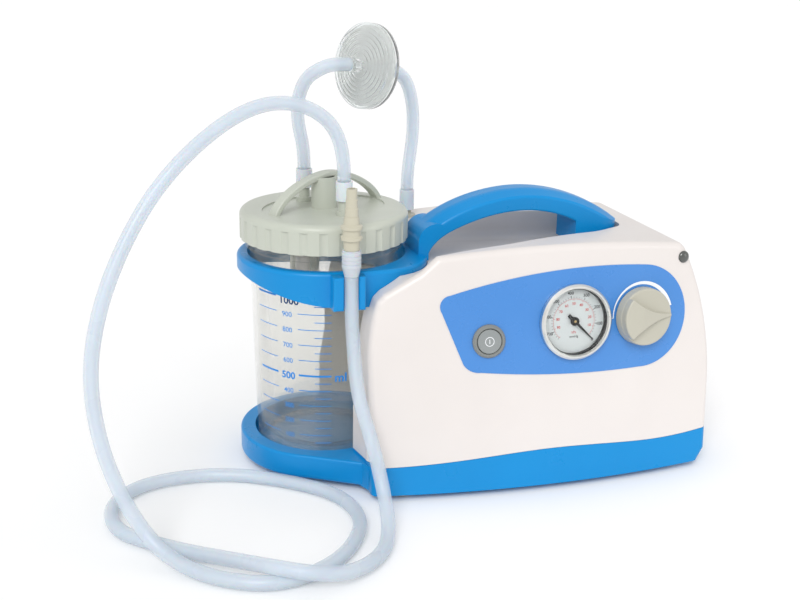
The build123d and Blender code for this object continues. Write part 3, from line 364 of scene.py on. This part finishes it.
INLET_ROUTE = [
    on_filter_axis(17.6), on_filter_axis(29.4), (-34, 66.4, 285.4), (-28.8, 66.6, 267),
    (-28, 66.5, 247), (-30.5, 65.0, 228), (-33.5, 62.0, 212.5), (-33.5, 62.0, 200)]


def smooth_line(name, route):
    """Points along the NURBS spline that has the route's points as its controls."""
    curve = bpy.data.curves.new(name + "_line", "CURVE")
    curve.dimensions = "3D"
    curve.resolution_u = LINE_STEPS
    spline = curve.splines.new("NURBS")
    spline.points.add(len(route) - 1)
    for point, place in zip(spline.points, route):
        point.co = (place[0] * MM, place[1] * MM, place[2] * MM, 1)
    spline.order_u = 3
    spline.use_endpoint_u = True
    holder = bpy.data.objects.new(name + "_line", curve)
    bpy.context.scene.collection.objects.link(holder)
    bpy.context.view_layer.update()
    mesh = bpy.data.meshes.new_from_object(holder)
    line = [v.co.copy() for v in mesh.vertices]
    bpy.data.objects.remove(holder)
    bpy.data.meshes.remove(mesh)
    return line


def ring_frames(line):
    """A pair of cross directions at each point of a line, carried along without twist."""
    frames = []
    side = None
    for i, here in enumerate(line):
        ahead = (line[min(i + 1, len(line) - 1)] - line[max(i - 1, 0)]).normalized()
        if side is None:
            side = ahead.orthogonal().normalized()
        side = (side - ahead * side.dot(ahead)).normalized()
        frames.append((side, ahead.cross(side)))
    return frames


def hose(name, route, material):
    """Thick-walled tube along a route, with its bore open and its ends flat."""
    sides = HOSE_SIDES
    line = smooth_line(name, route)
    frames = ring_frames(line)
    vertices, faces = [], []
    for radius in (HOSE_R, HOSE_BORE):
        for here, (a, b) in zip(line, frames):
            for k in range(sides):
                turn = 2 * math.pi * k / sides
                vertices.append(here + (a * math.cos(turn) + b * math.sin(turn)) * radius)
    rings = len(line)
    inner = rings * sides                   # the bore's vertices start here
    last = inner - sides                    # and the outside's last ring here
    for i in range(rings - 1):
        for k in range(sides):
            m = (k + 1) % sides
            at, up = i * sides, (i + 1) * sides
            faces.append((at + k, at + m, up + m, up + k))
            faces.append((inner + at + k, inner + up + k, inner + up + m, inner + at + m))
    for k in range(sides):
        m = (k + 1) % sides
        faces.append((k, inner + k, inner + m, m))
        faces.append((last + k, last + m, inner + last + m, inner + last + k))
    piece = new_mesh(name + "_tube", vertices, faces, material)
    return piece, line


def make_hoses(materials):
    """The patient hose, from the lid to the clip, and the two short hoses at the filter."""
    nodes = frame["nodes"]
    tube, line = hose("patient_hose", PATIENT_ROUTE, materials["silicone"])
    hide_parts("patient_hose")
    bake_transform(tube)
    filter_nodes = [nodes["filter_front"], nodes["filter_rear"], nodes["filter_membrane"]]
    ends = (("vacuum_hose", VACUUM_ROUTE, "fitting", filter_nodes),
            ("inlet_hose", INLET_ROUTE, "object", []))
    for name, route, far_end, on_it in ends:
        tube, line = hose(name, route, materials["silicone"])
        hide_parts(name)
        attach(tube, "lid")


# ---- printed and small pieces -------------------------------------------------------
class Surface:
    """Turns flat drawing positions, in millimetres, into places on one surface."""

    def __init__(self, place):
        self.place = place

    def piece(self, name, outlines, material, body, slot):
        """One mesh from flat outlines; each outline is a list of (x, y) corners."""
        vertices, faces = [], []
        for corners in outlines:
            faces.append(tuple(range(len(vertices), len(vertices) + len(corners))))
            vertices += [self.place(x, y) for x, y in corners]
        return self.finish(new_mesh(name, vertices, faces, material, False), body, slot)

    def words(self, name, labels, material, body, slot):
        """One mesh from labels; each is (text, x, y, size, boldness), centred on x and y."""
        vertices, faces = [], []
        for text, x, y, size, bold in labels:
            glyphs = text_mesh(text, size, bold)
            start = len(vertices)
            vertices += [self.place(x + v.co.x, y + v.co.y) for v in glyphs.vertices]
            faces += [tuple(start + i for i in f.vertices) for f in glyphs.polygons]
            bpy.data.meshes.remove(glyphs)
        return self.finish(new_mesh(name, vertices, faces, material, False), body, slot)

    def finish(self, piece, body, slot):
        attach(piece, body)
        return piece


def text_mesh(text, size, bold):
    """Flat mesh of a piece of text in the built-in typeface."""
    curve = bpy.data.curves.new("text", "FONT")
    curve.body = text
    curve.size = size
    curve.offset = bold
    curve.align_x = "CENTER"
    curve.align_y = "CENTER"
    curve.resolution_u = 3
    holder = bpy.data.objects.new("text", curve)
    bpy.context.scene.collection.objects.link(holder)
    bpy.context.view_layer.update()
    mesh = bpy.data.meshes.new_from_object(holder)
    bpy.data.objects.remove(holder)
    return mesh


def on_front(x0, z0, proud):
    """Flat drawing plane on the front, centred at x0 and z0 and standing proud of it."""
    point, right, up, out = front_frame(x0, z0)
    return Surface(lambda x, y: point + (right * x + up * y + out * proud) * MM)


def polar(radius, degrees):
    return radius * math.cos(math.radians(degrees)), radius * math.sin(math.radians(degrees))


def band(inner, outer, start, end, steps):
    """Outlines of a ring band between two angles; radii may be functions of the share done."""
    near = inner if callable(inner) else lambda t: inner
    far = outer if callable(outer) else lambda t: outer
    outlines = []
    for k in range(steps):
        a, b = k / steps, (k + 1) / steps
        first, second = start + (end - start) * a, start + (end - start) * b
        outlines.append([polar(near(a), first), polar(far(a), first), polar(far(b), second),
                         polar(near(b), second)])
    return outlines


def tick(inner, outer, degrees, width):
    """Outline of one mark that points at the middle."""
    x0, y0 = polar(inner, degrees)
    x1, y1 = polar(outer, degrees)
    dx, dy = polar(width / 2, degrees + 90)
    return [(x0 - dx, y0 - dy), (x1 - dx, y1 - dy), (x1 + dx, y1 + dy), (x0 + dx, y0 + dy)]


def block(left, right, low, high):
    """Outline of a rectangle."""
    return [(left, low), (right, low), (right, high), (left, high)]


DIAL_START = -45                            # the scales run anticlockwise from here
DIAL_SWEEP = 270
DIAL_DEPTH = -1.34                          # the dial's face, behind the front
OUTER_FULL = 760                            # the outer scale's last value
INNER_FULL = 100
RED_RING = 16.6                             # radius that the red marks end on
BLACK_RING_R = (24.0, 24.55)                     # inside and outside of the black ring in the bezel
BLACK_RING_Z = (-1.3, 2.7)                       # its back and its front
BLACK_RING_SIDES = 72
NEEDLE_FACE = 1.45                          # the heights of three faces that carry a print
LABEL_FACE = 0.57
BUTTON_FACE = 3.24


def dial_angle(value, full):
    return DIAL_START + DIAL_SWEEP * value / full


def scale_marks(full, step, long_step, short_mark, long_mark):
    """Outlines of a scale's marks; each kind of mark is (inner radius, outer radius, width)."""
    outlines = []
    for value in range(0, full + 1, step):
        inner, outer, width = short_mark if value % long_step else long_mark
        outlines.append(tick(inner, outer, dial_angle(value, full), width))
    return outlines


def scale_numbers(values, full, radius, size, bold):
    return [(str(v), *polar(radius, dial_angle(v, full)), size, bold) for v in values]


def make_dial(materials):
    """Two printed scales, black outside and red inside."""
    dial = on_front(*GAUGE, DIAL_DEPTH)
    black = scale_marks(OUTER_FULL, 20, 100, (16.9, 18.1, 0.24), (16.9, 18.9, 0.42))
    red = scale_marks(INNER_FULL, 2, 10, (15.9, RED_RING, 0.2), (15.4, RED_RING, 0.34))
    red += band(RED_RING - 0.15, RED_RING, DIAL_START, DIAL_START + DIAL_SWEEP, 90)
    dial.piece("dial_black_marks", black, materials["ink"], "casing", "dial")
    dial.piece("dial_red_marks", red, materials["red_ink"], "casing", "dial")
    labels = scale_numbers(range(0, 701, 100), OUTER_FULL, 20.9, 3.3, 0.06)
    labels.append(("mmHg", 0, -11.6, 2.6, 0.03))
    dial.words("dial_black_numbers", labels, materials["ink"], "casing", "dial")
    labels = scale_numbers(range(10, 100, 10), INNER_FULL, 12.9, 2.8, 0.05)
    labels.append(("kPa", 0, -8.4, 2.6, 0.02))
    dial.words("dial_red_numbers", labels, materials["red_ink"], "casing", "dial")


def make_liner(material):
    """Black ring over the inner wall of the gauge's bezel, which makes that wall dark."""
    point, right, up, out = front_frame(*GAUGE)
    inside, outside = BLACK_RING_R
    back, front = BLACK_RING_Z
    section = ((outside, front), (inside, front), (inside, back), (outside, back))
    vertices, faces = [], []
    for radius, height in section:
        for k in range(BLACK_RING_SIDES):
            x, y = polar(radius, 360 * k / BLACK_RING_SIDES)
            vertices.append(point + (right * x + up * y + out * height) * MM)
    for row in range(len(section)):
        at, to = row * BLACK_RING_SIDES, (row + 1) % len(section) * BLACK_RING_SIDES
        for k in range(BLACK_RING_SIDES):
            m = (k + 1) % BLACK_RING_SIDES
            faces.append((at + k, at + m, to + m, to + k))
    black_ring = new_mesh("bezel_black_ring", vertices, faces, material)
    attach(black_ring, "casing")


def make_pointer_cap(material):
    """Brass disc at the pointer's middle."""
    disc = [polar(1.0, 15 * k) for k in range(24)]
    on_front(*GAUGE, NEEDLE_FACE).piece("pointer_cap", [disc], material, "gauge_needle", "brass")


def make_front_print(materials):
    """White crescent that shows which way the regulator gives more, and the power symbol."""
    crescent = band(23.6, lambda t: 24.2 + 3.0 * t, 180, 12, 84)
    crescent.append(block(-28.6, -23.6, -0.25, 0.25))
    film = on_front(*KNOB, LABEL_FACE)
    film.piece("regulator_crescent", crescent, materials["white_ink"], "casing", "label")
    symbol = band(3.0, 3.45, 0, 360, 60)
    symbol.append(block(-0.25, 0.25, -1.6, 1.6))
    cap = on_front(*BUTTON, BUTTON_FACE)
    cap.piece("power_symbol", symbol, materials["white_ink"], "power_button", "label")


PRINT_PROUD = 0.12                          # the jar's print stands off its wall
ROUND_MM = math.degrees(1 / 54)             # degrees round the jar in one millimetre
MARK_STEP = 12.0                            # height of one hundred millilitres
MARK_TOP = 142.6                            # height of the mark for a full jar
THIN_MARK = 0.6
THICK_MARK = 1.5
LEFT_MARKS = (-162, -141.5)                 # where marks start and end, in degrees round the jar
RIGHT_MARKS = (-123, -97)
HALF_MARKS = (-110, -97)
NUMBER_COLUMN = -132                        # the middle of the numbers
NUMBER_DROP = 1.4                           # they stand a little under their marks


def on_jar(x, y):
    """Place on the jar's wall: x is degrees round it, y the height."""
    share = (y - JAR_FOOT[1]) / (JAR_TOP[1] - JAR_FOOT[1])
    radius = JAR_FOOT[0] + (JAR_TOP[0] - JAR_FOOT[0]) * share + PRINT_PROUD
    across, away = polar(radius, x)
    return JAR_AXIS + Vector((across, away, y)) * MM


def mark_height(hundred):
    return MARK_TOP - MARK_STEP * (10 - hundred)


def jar_mark(span, height, thick):
    """Outlines of one level mark, in short steps that follow the jar's round wall."""
    start, end = span
    steps = max(2, round((end - start) / 2))
    ends = [start + (end - start) * k / steps for k in range(steps + 1)]
    return [block(a, b, height - thick / 2, height + thick / 2) for a, b in zip(ends, ends[1:])]


def make_jar_print(materials):
    """Volume marks and numbers on the jar's front left."""
    marks = []
    for hundred in range(1, 11):
        height = mark_height(hundred)
        thick = THICK_MARK if hundred in (5, 10) else THIN_MARK
        marks += jar_mark(LEFT_MARKS, height, thick)
        if hundred < 10:
            marks += jar_mark(RIGHT_MARKS, height, thick)
        marks += jar_mark(HALF_MARKS, height - MARK_STEP / 2, THIN_MARK)
    Surface(on_jar).piece("jar_ticks", marks, materials["blue_ink"], "jar", "label")
    column = Surface(lambda x, y: on_jar(NUMBER_COLUMN + x * ROUND_MM, y))
    plain = [(str(100 * h), 0, mark_height(h) - NUMBER_DROP, 5.4, 0.06)
             for h in range(1, 10) if h != 5]
    middle = mark_height(5) - NUMBER_DROP
    bold = [("500", 0, middle, 7.6, 0.22), ("ml", 40.0, middle, 9.6, 0.25)]
    full = [("1000", 1.6, mark_height(10) - 2 * NUMBER_DROP, 8.0, 0.22)]
    column.words("jar_numbers", plain, materials["blue_ink"], "jar", "label")
    column.words("jar_middle_numbers", bold, materials["blue_ink"], "jar", "label")
    # The full mark's number is real blue print, painted darker as painted shade for the handle ring's
    # shadow above it.
    column.words("jar_full_number", full, materials["ink_in_painted_shade"], "jar", "label")


# ---- assembly -----------------------------------------------------------------------
def main():
    make_camera()
    materials = make_materials()
    make_hoses(materials)
    make_stage()
    dress_nodes(materials)
    make_dial(materials)
    make_liner(materials["black"])
    make_pointer_cap(materials["brass"])
    make_front_print(materials)
    make_jar_print(materials)


main()
